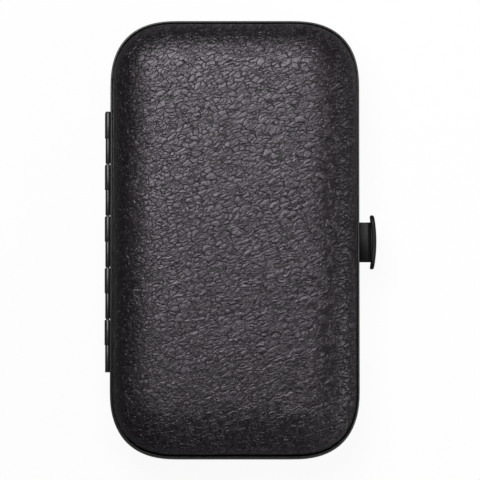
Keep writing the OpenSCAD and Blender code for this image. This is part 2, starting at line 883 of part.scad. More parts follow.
pusher_tip_w = 6;
pusher_z = shallow_floor + slip + pusher_r;
pusher_blade_l = 13;                             // length of spoon and scraper outside the rod
pusher_blade_t = 1;
pusher_rod = pusher_l - 2 * pusher_blade_l;
pusher_taper = 14;                               // length over which the rod narrows at each end
pusher_neck = 4;
pusher_overlap = 2;                              // how far the rod runs on over spoon and scraper
pusher_neck_w = 1.8;
pusher_grooves = 7;
pusher_groove_pitch = 2.4;
pusher_groove_w = 1.2;
pusher_groove_depth = 0.35;
scraper_w = 3.8;
scraper_l = 5;
scraper_slant = 1.6;

// The rod's profile as pairs of radius and length: one end, from the handle outwards, and one groove
function rod_end(way) = [
    [pusher_r, way * (pusher_rod / 2 - pusher_taper)],
    [0.65 * pusher_r, way * (pusher_rod / 2 - pusher_neck)],
    [0.5 * pusher_r, way * (pusher_rod / 2 + pusher_overlap)],
    [0, way * (pusher_rod / 2 + pusher_overlap)]
];

function pusher_groove(y) = [
    [pusher_r, y - pusher_groove_w / 2], [pusher_r - pusher_groove_depth, y - pusher_groove_w / 4],
    [pusher_r - pusher_groove_depth, y + pusher_groove_w / 4], [pusher_r, y + pusher_groove_w / 2]
];

module pusher_spoon_plan() {
    end_y = pusher_l / 2 - pusher_tip_w / 2;
    polygon([
        [-pusher_neck_w / 2, pusher_rod / 2 - e], [pusher_neck_w / 2, pusher_rod / 2 - e],
        [pusher_tip_w / 2, end_y - pusher_tip_w / 2], [pusher_tip_w / 2, end_y],
        [-pusher_tip_w / 2, end_y], [-pusher_tip_w / 2, end_y - pusher_tip_w / 2]
    ]);
    translate([0, end_y]) circle(r = pusher_tip_w / 2, $fn = 48);
}

module pusher_scraper_plan() {
    end_y = -pusher_l / 2;
    side = scraper_w / 2;
    neck = pusher_neck_w / 2;
    polygon([
        [-neck, e - pusher_rod / 2], [-side, end_y + scraper_l], [-side, end_y],
        [side, end_y + scraper_slant], [side, end_y + scraper_l], [neck, e - pusher_rod / 2]
    ]);
}

module cuticle_pusher() {
    first_end = rod_end(-1);
    profile = concat(
        [for (i = [len(first_end) - 1 : -1 : 0]) first_end[i]],
        [
            for (i = [0 : pusher_grooves - 1])
                each pusher_groove((i - (pusher_grooves - 1) / 2) * pusher_groove_pitch)
        ],
        rod_end(1)
    );
    color(polished)
        translate([pusher_x, 0, pusher_z]) {
            rotate([90, 0, 0])
                rotate_extrude($fn = 48) polygon(profile);
            translate([0, 0, -pusher_blade_t / 2])
                linear_extrude(pusher_blade_t) {
                    pusher_spoon_plan();
                    pusher_scraper_plan();
                }
        }
}

// ---------- scissors, held under the lid's lining ----------

scissor_x = -7;
scissor_y = 9;
screw_r = 1.5;
screw_head_r = 2.8;
screw_head_t = 0.6;
nut_t = 0.4;
ceiling_z = part_z + inner_h(layers_t + lining_t, case_w / 2);      // the lining over the middle
scissor_top = ceiling_z - 0.2 - nut_t;
scissor_z = scissor_top - scissor_t;
half_t = (scissor_t - 2 * slip) / 2;            // thickness where the halves cross
ring_x = ring_r + 0.5;                           // from the middle to a ring's own middle
ring_len = 6;                                    // straight length of a ring
cross_y = 9;                                     // the halves cross within this distance of the screw
hub_r = 3.7;
band_t = 0.6;                                    // thickness of strap and pocket
band_room = 0.3;                                 // play between the scissors and what holds them

module stadium(r, straight) {
    for (side = [-1, 1])
        translate([0, side * straight / 2]) circle(r = r, $fn = 64);
    square([2 * r, straight], center = true);
}

// One half from above, with its ring at -X and its blade towards +Y
module scissor_blade_plan() {
    side = hub_r - 0.1;
    heel = 4;                                    // the blade is widest up to this distance from the screw
    tip_w = 0.8;
    back = 2.6;                                  // the blade's back and its cutting edge half way along
    cut = 1.8;
    polygon([
        [-side, -heel], [side - 0.4, -heel], [side, heel], [back, blade_l / 2],
        [tip_w / 2, blade_l], [-tip_w / 2, blade_l], [-cut, blade_l / 2], [-side, heel]
    ]);
    circle(r = hub_r, $fn = 48);
}

// The shank bends outwards past the crossing and runs into the ring's inner side
module scissor_shank_plan() {
    waist_y = -cross_y - 8;
    ring_top = ring_len / 2 + ring_r - shank_l;
    difference() {
        union() {
            polygon([
                [0.1 - hub_r, 0], [-0.4, -4], [-0.5, waist_y], [3 - ring_x, ring_top],
                [-1 - ring_x, ring_top - 1], [-5, waist_y + 2]
            ]);
            translate([-ring_x, -shank_l]) stadium(ring_r, ring_len);
        }
        translate([-ring_x, -shank_l]) stadium(ring_r - ring_bar, ring_len);
    }
}

// A half with its blade and pivot in the upper or the lower layer, and its ring across both
module scissor_half(layer_z) {
    difference() {
        union() {
            translate([0, 0, layer_z])
                linear_extrude(half_t) {
                    scissor_blade_plan();
                    intersection() {
                        scissor_shank_plan();
                        translate([-shank_l, -cross_y - 1]) square([2 * shank_l, shank_l]);
                    }
                }
            translate([0, 0, (scissor_t - ring_t) / 2])
                linear_extrude(ring_t)
                    intersection() {
                        scissor_shank_plan();
                        translate([-shank_l, -cross_y - 2 * shank_l]) square([2 * shank_l, 2 * shank_l]);
                    }
        }
        translate([0, 0, -e]) cylinder(r = screw_r + slip, h = scissor_t + 2 * e, $fn = 48);
    }
}

module scissor_fixed_half() {
    color(polished)
        translate([scissor_x, scissor_y, scissor_z]) scissor_half(scissor_t - half_t);
}

module scissor_moving_half() {
    color(polished)
        translate([scissor_x, scissor_y, scissor_z]) mirror([1, 0, 0]) scissor_half(0);
}

module scissor_screw() {
    slot_w = 0.6;
    color(polished)
        translate([scissor_x, scissor_y, scissor_z]) {
            translate([0, 0, -screw_head_t - slip])
                cylinder(r = screw_r, h = screw_head_t + scissor_t + nut_t + 2 * slip, $fn = 48);
            difference() {
                translate([0, 0, -screw_head_t - slip])
                    cylinder(r = screw_head_r, h = screw_head_t, $fn = 48);
                translate([0, 0, -screw_head_t - slip])
                    cube([2 * screw_head_r + e, slot_w, screw_head_t], center = true);
            }
            translate([0, 0, scissor_t + slip]) cylinder(r = screw_head_r - 0.4, h = nut_t, $fn = 48);
        }
}

// The elastic strap is sewn to the lining on both sides of the fixed ring's end
module scissor_strap() {
    strap_w = 6;
    foot = 3;
    hole_r = ring_r - ring_bar;
    room = ring_bar / 2 + hole_r - sqrt(hole_r * hole_r - strap_w * strap_w / 4) + band_room;
    far = room + foot;
    bar_y = scissor_y - shank_l - ring_len / 2 - ring_r + ring_bar / 2;
    side_x = scissor_x - ring_x - strap_w / 2;
    // The feet lie on the lining where it is lowest under them
    sewn_z = part_z - slip
        + inner_h(layers_t + lining_t, min(case_w / 2 + side_x, case_l / 2 + bar_y - far));
    drop = sewn_z - scissor_z - (scissor_t - ring_t) / 2 + band_room + band_t;
    color(black_metal)
        translate([side_x, bar_y, sewn_z])
            rotate([90, 0, 90])
                linear_extrude(strap_w)
                    polygon([
                        [-far, 0], [-room, 0], [-room, band_t - drop],
                        [room, band_t - drop], [room, 0], [far, 0],
                        [far, -band_t], [room + band_t, -band_t], [room + band_t, -drop],
                        [-room - band_t, -drop], [-room - band_t, -band_t], [-far, -band_t]
                    ]);
}

// The pocket is a stiff panel across the lid's end, glued to the lining all round, and takes the blades' tips
module tip_pocket() {
    tip_room = 1;                                // depth that the tips have over the panel
    tip_reach = 9;                               // how far the blades reach into the pocket
    color(leatherette)
        translate([0, 0, scissor_z - band_room - tip_room - band_t])
            linear_extrude(band_t)
                intersection() {
                    polygon(outline(skin_inset + layers_t + lining_t + 5 * slip));
                    translate([-case_w / 2, scissor_y + blade_l - tip_reach]) square([case_w, case_l]);
                }
}

base_cover();
base_foam();
base_shell();
base_frame();
base_tray();
hinge_pin();
lid_cover();
lid_foam();
lid_shell();
lid_frame();
lid_lining();
lid_catch();
catch_rivets();
release_button();
clasp_spring();
clasp_housing();
housing_rivets();
scissor_fixed_half();
scissor_moving_half();
scissor_screw();
scissor_strap();
tip_pocket();
clipper_lower_leaf();
clipper_upper_leaf();
clipper_rivet();
clipper_lever();
clipper_pin();
tweezers();
file_blade();
file_handle();
cuticle_pusher();
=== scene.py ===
import math

import bmesh
import bpy
import numpy as np
from mathutils import Matrix, Vector


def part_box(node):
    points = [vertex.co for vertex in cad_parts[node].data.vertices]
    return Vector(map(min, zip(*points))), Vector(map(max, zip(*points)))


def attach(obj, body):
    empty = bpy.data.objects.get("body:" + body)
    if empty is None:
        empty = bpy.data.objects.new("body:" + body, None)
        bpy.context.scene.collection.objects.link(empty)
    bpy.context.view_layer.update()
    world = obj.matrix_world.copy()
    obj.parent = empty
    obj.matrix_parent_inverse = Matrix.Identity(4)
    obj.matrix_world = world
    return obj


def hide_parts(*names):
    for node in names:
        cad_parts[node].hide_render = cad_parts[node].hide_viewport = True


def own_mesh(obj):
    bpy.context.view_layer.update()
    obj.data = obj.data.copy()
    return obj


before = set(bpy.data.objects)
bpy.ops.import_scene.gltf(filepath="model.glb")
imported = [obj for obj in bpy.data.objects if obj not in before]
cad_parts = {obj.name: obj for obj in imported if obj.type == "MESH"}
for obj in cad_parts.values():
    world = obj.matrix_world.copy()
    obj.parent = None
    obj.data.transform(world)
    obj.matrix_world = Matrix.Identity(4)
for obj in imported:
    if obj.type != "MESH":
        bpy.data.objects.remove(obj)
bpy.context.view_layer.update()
mm = 0.001


# ---- Table, lamps and camera ---------------------------------------------------------------------------
# The case lies shut on a white table and is seen from straight above, a little from its lower end. A large
# softbox hangs over its upper left, a low one on the right gives the right shoulder its edge, and a weak one
# in front fills the dark sides.

picture_px = 480
px = 0.28542 * mm               # real size of a pixel at the height of the parting plane
middle_px = (234.8, 240)        # pixel at which the middle of the frame lies
sensor_w = 36                   # the camera's sensor, in millimetres as Blender counts it
camera_distance = 1.5
camera_tilt = math.radians(5)
room_grey = 0.035

part_z = (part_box("base_cover")[1].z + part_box("lid_cover")[0].z) / 2
aim = Vector(((picture_px / 2 - middle_px[0]) * px, (middle_px[1] - picture_px / 2) * px, part_z))
camera_data = bpy.data.cameras.new("camera")
camera_data.lens = sensor_w * camera_distance / (picture_px * px)
camera_data.sensor_width = sensor_w
camera = bpy.data.objects.new("camera", camera_data)
bpy.context.scene.collection.objects.link(camera)
camera.matrix_world = (
    Matrix.Translation(aim) @ Matrix.Rotation(camera_tilt, 4, "X")
    @ Matrix.Translation((0, 0, camera_distance))
)
bpy.context.scene.camera = camera
bpy.context.scene.view_settings.view_transform = "Standard"


def softbox(name, place, size, radiance):
    """A square lamp that shines towards the case, with the brightness of its face."""
    data = bpy.data.lights.new(name, "AREA")
    data.shape = "SQUARE"
    data.size = size
    data.energy = radiance * math.pi * size * size
    lamp = bpy.data.objects.new(name, data)
    bpy.context.scene.collection.objects.link(lamp)
    facing = Vector(place).to_track_quat("Z", "Y").to_matrix().to_4x4()
    lamp.matrix_world = Matrix.Translation(place) @ facing


softbox("main_softbox", (-0.06, 0.165, 0.40), 0.265, 8.0)
softbox("side_softbox", (0.50, -0.10, 0.25), 0.32, 4.1)
softbox("front_softbox", (0.22, -0.42, 0.33), 0.4, 0.6)

room = bpy.data.worlds.new("room")
room.use_nodes = True
bpy.context.scene.world = room
room.node_tree.nodes["Background"].inputs["Color"].default_value = (room_grey, room_grey, room_grey, 1)


def node(tree, kind, inputs=(), **settings):
    """Adds a node, sets it up and links or fills its inputs by name or number."""
    made = tree.nodes.new(kind)
    for key, value in settings.items():
        setattr(made, key, value)
    for key, value in dict(inputs).items():
        if isinstance(value, bpy.types.NodeSocket):
            tree.links.new(value, made.inputs[key])
        else:
            made.inputs[key].default_value = value
    return made


def calc(tree, operation, a, b=0.0):
    """One step of arithmetic."""
    return node(tree, "ShaderNodeMath", {0: a, 1: b}, operation=operation).outputs[0]


# The table shows white to the camera with the case's shadow on it, and is greyer in what it throws back, so
# that the dark leather's sides stay dark.
table_reach = 3
white_seen = 0.93               # share of plain white in what the camera sees, the rest takes the shadow
white_mirrored = 0.12           # the same in what metal and gloss mirror
paper_seen = 0.9                # tone of the paper itself to the camera
paper_unseen = 0.08             # and in the light that it throws back

floor_mesh = bpy.data.meshes.new("floor")
shape = bmesh.new()
bmesh.ops.create_grid(shape, x_segments=1, y_segments=1, size=table_reach)
shape.to_mesh(floor_mesh)
shape.free()
floor = bpy.data.objects.new("floor", floor_mesh)
bpy.context.scene.collection.objects.link(floor)
table_top = bpy.data.materials.new("white_table")
table_top.use_nodes = True
tree = table_top.node_tree
tree.nodes.clear()
rays = node(tree, "ShaderNodeLightPath").outputs
mirrored = calc(tree, "MAXIMUM", rays["Is Glossy Ray"], rays["Is Transmission Ray"])
mirrored = calc(tree, "MULTIPLY", mirrored, white_mirrored)
white_share = calc(tree, "ADD", calc(tree, "MULTIPLY", rays["Is Camera Ray"], white_seen), mirrored)
tones = {"Value": rays["Is Camera Ray"], "To Min": paper_unseen, "To Max": paper_seen}
tone = node(tree, "ShaderNodeMapRange", tones).outputs["Result"]
paper = node(tree, "ShaderNodeBsdfDiffuse", {"Color": tone}).outputs[0]
white = node(tree, "ShaderNodeEmission").outputs[0]
mix = node(tree, "ShaderNodeMixShader", {0: white_share, 1: paper, 2: white}).outputs[0]
node(tree, "ShaderNodeOutputMaterial", {"Surface": mix})
floor_mesh.materials.append(table_top)


# ---- Leatherette covers --------------------------------------------------------------------------------
# The cover of each half is a sheet of pebbled leatherette, pressed hot over foam and steel into a shallow
# dome with a soft shoulder. Its edge is tucked into the metal frame all round.

half_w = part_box("lid_frame")[1].x           # half the width and length of the metal frame
half_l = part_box("lid_frame")[1].y
skin_inset = half_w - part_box("lid_cover")[1].x
frame_h = 4 * mm
corner_r = 19.5 * mm
corner_n = 2.5                              # squareness of the outline's corners
shoulder_w = 14 * mm
shoulder_n = 2.3                            # squareness of the shoulder's section
crown_h = 0.6 * mm                          # rise of the nearly flat middle over the shoulder
crown_w = 24 * mm                           # how far in from the edge it rises
shoulder_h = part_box("lid_cover")[1].z - part_z - frame_h - crown_h
tuck = 1 * mm                               # how far the edge reaches into the frame
cover_t = 0.7 * mm
cover_step = 0.5 * mm
grain_depth = 0.05 * mm                     # of the grain that is pressed into the sheet
relief_depth = 0.12 * mm                    # of the finer relief on it


def dome_profile(depth, tuck_in):
    """Inset from the frame's edge and height over the frame, from the tucked edge to past the middle."""
    shoulder_points, crown_points = 80, 60
    a = np.linspace(0, math.pi / 2, shoulder_points)
    d = shoulder_w * (1 - np.cos(a) ** (2 / shoulder_n))
    h = shoulder_h * np.sin(a) ** (2 / shoulder_n)
    far = np.linspace(shoulder_w, half_l, crown_points)[1:]
    d = np.concatenate([d, far])
    h = np.concatenate([h, np.full(len(far), shoulder_h)])
    h = h + crown_h * (1 - (1 - np.minimum(d / crown_w, 1)) ** 2)
    along_d, along_h = np.gradient(d), np.gradient(h)
    along_d[0] = 0
    size = np.hypot(along_d, along_h)
    inset = skin_inset + d + depth * along_h / size
    height = h - depth * along_d / size
    return np.concatenate([[inset[0]], inset]), np.concatenate([[-tuck_in], height])


def to_corner(x, y, edge_inset):
    """Draws a square sheet's corner in to the outline's rounded one, and gives the place and the inset."""
    r = corner_r - edge_inset
    cx, cy = half_w - corner_r, half_l - corner_r
    s, t = np.clip((x - cx) / r, 0, 1), np.clip((y - cy) / r, 0, 1)
    u, v = s * np.sqrt(1 - t * t / 2), t * np.sqrt(1 - s * s / 2)
    ring = (u ** corner_n + v ** corner_n) ** (1 / corner_n)
    radius = np.hypot(u, v)
    pull = radius / np.maximum(ring, 1e-9)
    return cx + r * u * pull, cy + r * v * pull, edge_inset + r * (1 - radius)


def dome_sheet(shape, depth, step, tuck_in, way):
    """A sheet over the whole dome at a depth under the skin, of squares of one size along its surface."""
    inset, height = dome_profile(depth, tuck_in)
    arc = np.concatenate([[0], np.cumsum(np.hypot(np.diff(inset), np.diff(height)))])
    reach = [np.interp(half, inset[1:], arc[1:]) for half in (half_w, half_l)]
    count = [2 * round(r / step) for r in reach]
    made = bmesh.ops.create_grid(shape, x_segments=count[0], y_segments=count[1], size=1)["verts"]
    co = np.array([v.co for v in made])
    sign = np.where(co < 0, -1, 1)
    s = [(1 - np.abs(co[:, k])) * reach[k] for k in (0, 1)]
    x = half_w - np.interp(s[0], arc, inset)
    y = half_l - np.interp(s[1], arc, inset)
    nearest = np.minimum(s[0], s[1])
    z = np.interp(nearest, arc, height)
    corner = (x > half_w - corner_r) & (y > half_l - corner_r)
    corner_x, corner_y, ring = to_corner(x, y, inset[0])
    z = np.where(corner & (nearest > arc[1]), np.interp(ring, inset[1:], height[1:]), z)
    x, y = np.where(corner, corner_x, x), np.where(corner, corner_y, y)
    for vertex, across, along, up in zip(made, x * sign[:, 0], y * sign[:, 1], z):
        vertex.co = (across, along, part_z + way * (frame_h + up))


def finished(name, shape, body):
    """Makes a piece of a shape and lets it ride on its body."""
    mesh = bpy.data.meshes.new(name)
    shape.to_mesh(mesh)
    shape.free()
    mesh.polygons.foreach_set("use_smooth", [True] * len(mesh.polygons))
    piece = bpy.data.objects.new(name, mesh)
    bpy.context.scene.collection.objects.link(piece)
    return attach(piece, body)


def dome_layer(name, body, way, depth_out, depth_in, step, tuck_in=tuck, grain=0):
    """One layer of the lid (way 1) or the base (way -1), with a pressed grain where a depth is given."""
    shape = bmesh.new()
    dome_sheet(shape, depth_out, step, tuck_in, way)
    bmesh.ops.recalc_face_normals(shape, faces=shape.faces)
    top = max(shape.faces, key=lambda face: way * face.calc_center_median().z)
    if top.normal.z * way < 0:
        bmesh.ops.reverse_faces(shape, faces=shape.faces)
    if grain:
        shape = press_grain(shape, grain)
    layer = finished(name, shape, body)
    thickness = layer.modifiers.new("thickness", "SOLIDIFY")
    thickness.thickness = depth_in - depth_out
    thickness.offset = -1
    return layer


def scaled(tree, vector, amount):
    """A vector or colour times a number."""
    return node(tree, "ShaderNodeVectorMath", {0: vector, "Scale": amount}, operation="SCALE").outputs[0]


def vector_calc(tree, operation, a, b):
    """One step of arithmetic with two vectors or colours."""
    return node(tree, "ShaderNodeVectorMath", {0: a, 1: b}, operation=operation).outputs[0]


def ramp(tree, value, low, high, to_low=0.0, to_high=1.0, smooth=True):
    """Takes a value from one range to another."""
    ranges = {"Value": value, "From Min": low, "From Max": high, "To Min": to_low, "To Max": to_high}
    kind = "SMOOTHSTEP" if smooth else "LINEAR"
    return node(tree, "ShaderNodeMapRange", ranges, interpolation_type=kind).outputs["Result"]


def noise(tree, place, scale, detail, roughness=0.5, output="Fac"):
    """Cloudy noise, from 0 to 1, with a number of clouds to the millimetre."""
    inputs = {"Vector": place, "Scale": scale, "Detail": detail, "Roughness": roughness}
    return node(tree, "ShaderNodeTexNoise", inputs).outputs[output]


def crease_distance(tree, place, scale):
    """Distance to the nearest crease between cells, with a number of cells to the millimetre."""
    inputs = {"Vector": place, "Scale": scale}
    return node(tree, "ShaderNodeTexVoronoi", inputs, feature="DISTANCE_TO_EDGE").outputs[0]


def bare_material(name):
    """A new material, its tree and shader, and the place on the piece in millimetres."""
    material = bpy.data.materials.new(name)
    material.use_nodes = True
    tree = material.node_tree
    place = tree.nodes.new("ShaderNodeTexCoord").outputs["Object"]
    return material, tree, tree.nodes["Principled BSDF"], scaled(tree, place, 1 / mm)


def coat(tree, shader, colour, roughness, relief, depth):
    """Gives a shader its colour and roughness, and a relief of a depth."""
    bump = node(tree, "ShaderNodeBump", {"Height": relief, "Strength": 1.0, "Distance": depth})
    for name, value in (("Base Color", colour), ("Roughness", roughness), ("Normal", bump.outputs[0])):
        tree.links.new(value, shader.inputs[name])


def leather_grain(tree, in_mm):
    """Height of the grain, from 0 in a crease to 1 on a pebble. Its cells are drawn out across the case and
    lean a little, in patches of large and small ones, and long folds run through them."""
    drifts = ((0.35, 2.2), (1.6, 0.2))      # unevenness: clouds to the millimetre and their reach in mm
    squeeze_z = 0.6
    squeeze_x, squeeze_loss = 0.60, 0.0030  # in the middle, and what every millimetre to the right takes off
    cell_lean, fold_lean = 0.33, 0.42       # rise of cells and folds towards the right
    big_cells, small_cells = 0.74, 1.8      # cells to the millimetre
    crease_w, small_crease_w = 0.08, 0.12   # in cells
    swell_w, swell_h = 0.38, 0.14           # rounding of the pebbles down to their creases
    fold_squeeze, fold_scale, fold_w, fold_depth = 0.16, 0.55, 0.045, 0.45

    warped = in_mm
    for scale, reach in drifts:
        drift = noise(tree, in_mm, scale, 2.0, output="Color")
        drift = vector_calc(tree, "SUBTRACT", drift, (0.5, 0.5, 0.5))
        warped = vector_calc(tree, "ADD", warped, scaled(tree, drift, reach))
    x, y, z = node(tree, "ShaderNodeSeparateXYZ", {0: warped}).outputs
    z = calc(tree, "MULTIPLY", z, squeeze_z)
    squeeze = calc(tree, "SUBTRACT", squeeze_x, calc(tree, "MULTIPLY", x, squeeze_loss))
    drawn_x = calc(tree, "MULTIPLY", x, squeeze)
    drawn_y = calc(tree, "SUBTRACT", y, calc(tree, "MULTIPLY", x, cell_lean))
    drawn = node(tree, "ShaderNodeCombineXYZ", {0: drawn_x, 1: drawn_y, 2: z}).outputs[0]
    big, small = (crease_distance(tree, drawn, scale) for scale in (big_cells, small_cells))
    patch = noise(tree, in_mm, 0.45, 3.0)
    swell = calc(tree, "MULTIPLY", calc(tree, "SUBTRACT", 1.0, ramp(tree, big, 0.0, swell_w)), swell_h)
    big = calc(tree, "SUBTRACT", 1.0, ramp(tree, big, 0.0, crease_w))
    big = calc(tree, "MULTIPLY", big, ramp(tree, patch, 0.34, 0.60, 0.18, 0.88))
    small = calc(tree, "SUBTRACT", 1.0, ramp(tree, small, 0.0, small_crease_w))
    small = calc(tree, "MULTIPLY", small, ramp(tree, patch, 0.36, 0.60, 0.26, 0.02))

    fold_x = calc(tree, "MULTIPLY", x, fold_squeeze)
    fold_y = calc(tree, "SUBTRACT", y, calc(tree, "MULTIPLY", x, fold_lean))
    along = node(tree, "ShaderNodeCombineXYZ", {0: fold_x, 1: fold_y, 2: z}).outputs[0]
    folds = calc(tree, "ABSOLUTE", calc(tree, "SUBTRACT", noise(tree, along, fold_scale, 1.0), 0.5))
    folds = calc(tree, "SUBTRACT", 1.0, ramp(tree, folds, 0.0, fold_w))
    folds = calc(tree, "MULTIPLY", folds, fold_depth)
    creases = calc(tree, "MAXIMUM", calc(tree, "ADD", big, small), folds)
    return calc(tree, "SUBTRACT", 1.0, calc(tree, "ADD", creases, swell))


def press_grain(shape, depth):
    """Presses the grain and a slow wave into an open sheet: the highest pebbles keep the skin's height."""
    wave_h = 1.6                            # of the wave, in depths of the grain
    tree = bpy.data.node_groups.new("press_grain", "GeometryNodeTree")
    tree.interface.new_socket("Geometry", in_out="INPUT", socket_type="NodeSocketGeometry")
    tree.interface.new_socket("Geometry", in_out="OUTPUT", socket_type="NodeSocketGeometry")
    given = tree.nodes.new("NodeGroupInput")
    result = tree.nodes.new("NodeGroupOutput")
    in_mm = scaled(tree, tree.nodes.new("GeometryNodeInputPosition").outputs[0], 1 / mm)
    wave = ramp(tree, noise(tree, in_mm, 0.07, 2.0), 0.3, 0.7)
    height = calc(tree, "ADD", leather_grain(tree, in_mm), calc(tree, "MULTIPLY", wave, wave_h))
    height = calc(tree, "MULTIPLY", calc(tree, "SUBTRACT", height, 1 + wave_h), depth)
    offset = scaled(tree, tree.nodes.new("GeometryNodeInputNormal").outputs[0], height)
    moved = node(tree, "GeometryNodeSetPosition", {"Geometry": given.outputs[0], "Offset": offset})
    tree.links.new(moved.outputs[0], result.inputs[0])
    sheet = finished("sheet", shape, "base")
    press = sheet.modifiers.new("grain", "NODES")
    press.node_group = tree
    bpy.context.view_layer.update()
    seen = sheet.evaluated_get(bpy.context.evaluated_depsgraph_get())
    pressed = bmesh.new()
    pressed.from_mesh(seen.to_mesh())
    seen.to_mesh_clear()
    bpy.data.objects.remove(sheet)
    return pressed


def leather(name, tone, flat, steep, highlight_strength):
    """Pebbled leatherette: creases darkened with painted shade and duller than the pebbles, with a fine hair
    grain over both. Its relief changes from the steep sides to the flat top, and a painted highlight
    lightens the pebble tops of the lower sides towards the clasp, where the light from the right falls."""
    # Painted highlight: the pebble tops of the lower sides are lightened towards the clasp, in place of the
    # light from the right. Its tone and reach:
    highlight_tone = (0.0082, 0.0070, 0.0074)
    highlight_rise = (6.0, 10.5)               # heights over the parting plane where the painted highlight fades, in mm
    highlight_x = (-30, 6)                     # places across the case where it starts and is whole, in mm
    steep_rise = (9.5, 11.7)                # heights where the steep sides turn into the flat top, in mm
    hair_depth = 0.17                       # as a share of the relief's depth
    material, tree, shader, in_mm = bare_material(name)
    grain = leather_grain(tree, in_mm)
    hair = noise(tree, in_mm, 3.6, 3.0, 0.6)
    shade = ramp(tree, noise(tree, in_mm, 0.12, 3.0), 0.3, 0.7, 0.85, 1.15)
    # Painted shade: the creases are darkened to a quarter, as if occluded.
    shade = calc(tree, "MULTIPLY", shade, ramp(tree, grain, 0.1, 0.75, 0.25, 1.0))
    shade = calc(tree, "MULTIPLY", shade, ramp(tree, hair, 0.25, 0.75, 0.75, 1.25, smooth=False))
    x, y, z = node(tree, "ShaderNodeSeparateXYZ", {0: in_mm}).outputs
    rise = calc(tree, "ABSOLUTE", calc(tree, "SUBTRACT", z, part_z / mm))
    # Painted highlight: strongest low on the sides and towards the clasp, only on the pebble tops, standing
    # for the light from the right.
    wear_and_painted_highlight = calc(tree, "MULTIPLY", ramp(tree, rise, *highlight_rise, highlight_strength, 0.0), ramp(tree, x, *highlight_x))
    wear_and_painted_highlight = calc(tree, "MULTIPLY", wear_and_painted_highlight, ramp(tree, grain, 0.74, 1.0, smooth=False))
    painted_highlight = scaled(tree, highlight_tone, calc(tree, "MULTIPLY", shade, wear_and_painted_highlight))
    colour = vector_calc(tree, "ADD", scaled(tree, tone, shade), painted_highlight)
    dull = ramp(tree, grain, 0.1, 0.75, 0.50, 0.31)
    dull = calc(tree, "ADD", dull, ramp(tree, hair, 0.3, 0.7, -0.06, 0.06, smooth=False))
    relief = calc(tree, "MULTIPLY", grain, ramp(tree, rise, *steep_rise, steep, flat))
    relief = calc(tree, "ADD", relief, calc(tree, "MULTIPLY", hair, hair_depth))
    coat(tree, shader, colour, dull, relief, relief_depth)
    shader.distribution = "GGX"
    shader.inputs["Specular IOR Level"].default_value = 0.56
    shader.inputs["Specular Tint"].default_value = (0.98, 0.905, 1.0, 1)
    shader.inputs["IOR"].default_value = 1.5
    return material


# The last number is the strength of the painted highlight on the sides.
leatherette = leather("leatherette", (0.0086, 0.0063, 0.0088), 1.15, 3.0, 7.5)
for half, way in (("lid", 1), ("base", -1)):
    grain = grain_depth
    cover = dome_layer(half + "_leather_cover", half, way, 0, cover_t, cover_step, grain=grain)
    cover.data.materials.append(leatherette)
    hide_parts(half + "_cover")


# ---- Metal frames --------------------------------------------------------------------------------------
# Each half is gripped all round by a channel rolled of thin steel sheet, with a rounded rim, lacquered
# black. The base's channel is slotted for the button's stem, and both are notched for the other's knuckles.

wall_t = 0.6 * mm                           # the channel's outer wall
frame_w = 3.95 * mm                         # the channel from its outer face to its inner one
corner_steps = 20
rim_rows = [                                # the channel's section: inset and height in millimetres
    (0.12, 0.05), (0.03, 0.09), (0, 0.2), (0, 3.62), (0.03, 3.78), (0.11, 3.92), (0.22, 3.99), (0.34, 4.0),
    (0.46, 3.95), (0.55, 3.84), (0.6, 3.68), (0.6, 0.55), (3.45, 0.55), (3.45, 3.9), (3.55, 4.0),
    (3.85, 4.0), (3.95, 3.9), (3.95, 0.05),
]

axis_x = -36.25 * mm                        # the hinge pin's place
fitting_y = -0.5 * mm                       # middle of hinge and clasp along the case
knuckle_count = 10
knuckle_pitch = 7.4 * mm
knuckle_gap = 0.2 * mm
roll_t = 0.36 * mm                          # sheet of a rolled knuckle
notch_near, notch_far = 1 * mm, 1.25 * mm   # from the parting plane, in the other half and in its own

stem_w = 11.4 * mm
stem_t = 0.8 * mm
stem_z = 10.4 * mm                          # middle of the stem's thickness
stem_gap = 0.15 * mm                        # round the stem in its slot
saw_spare = 1 * mm                          # how far a cutter reaches past the frame


def outline_loop(loop, inset, z):
    """Lays a loop of vertices on the case's outline, drawn in by an inset."""
    least_r = 3 * mm
    quarter = len(loop) // 4
    r = max(corner_r - inset, least_r)
    for k, vertex in enumerate(loop):
        side, step = divmod(k, quarter)
        step = step if side % 2 == 0 else quarter - 1 - step
        a = math.pi / 2 * step / (quarter - 1)
        x = half_w - inset - r + r * math.cos(a) ** (2 / corner_n)
        y = half_l - inset - r + r * math.sin(a) ** (2 / corner_n)
        vertex.co = (x if side in (0, 3) else -x, y if side < 2 else -y, z)


def channel(rows, way):
    """A closed ring round the case, lofted through the rows of its section: pairs of inset and height."""
    shape = bmesh.new()
    loop = bmesh.ops.create_circle(shape, segments=4 * (corner_steps + 1), radius=1)["verts"]
    edges = list(shape.edges)
    for number, (inset, height) in enumerate(rows):
        if number:
            made = bmesh.ops.extrude_edge_only(shape, edges=edges)["geom"]
            fresh = {item for item in made if isinstance(item, bmesh.types.BMVert)}
            loop = [next(e.other_vert(v) for e in v.link_edges if e.other_vert(v) in fresh) for v in loop]
            edges = [e for e in made if isinstance(e, bmesh.types.BMEdge) and fresh.issuperset(e.verts)]
        outline_loop(loop, inset, part_z + way * height)
    ends = [e for e in shape.edges if e.is_boundary]
    bmesh.ops.bridge_loops(shape, edges=ends)
    bmesh.ops.recalc_face_normals(shape, faces=shape.faces)
    return shape


def box(shape, low, high):
    """A block between two corners."""
    low, high = Vector(low), Vector(high)
    made = bmesh.ops.create_cube(shape, size=1)["verts"]
    bmesh.ops.scale(shape, verts=made, vec=high - low)
    bmesh.ops.translate(shape, verts=made, vec=(low + high) / 2)


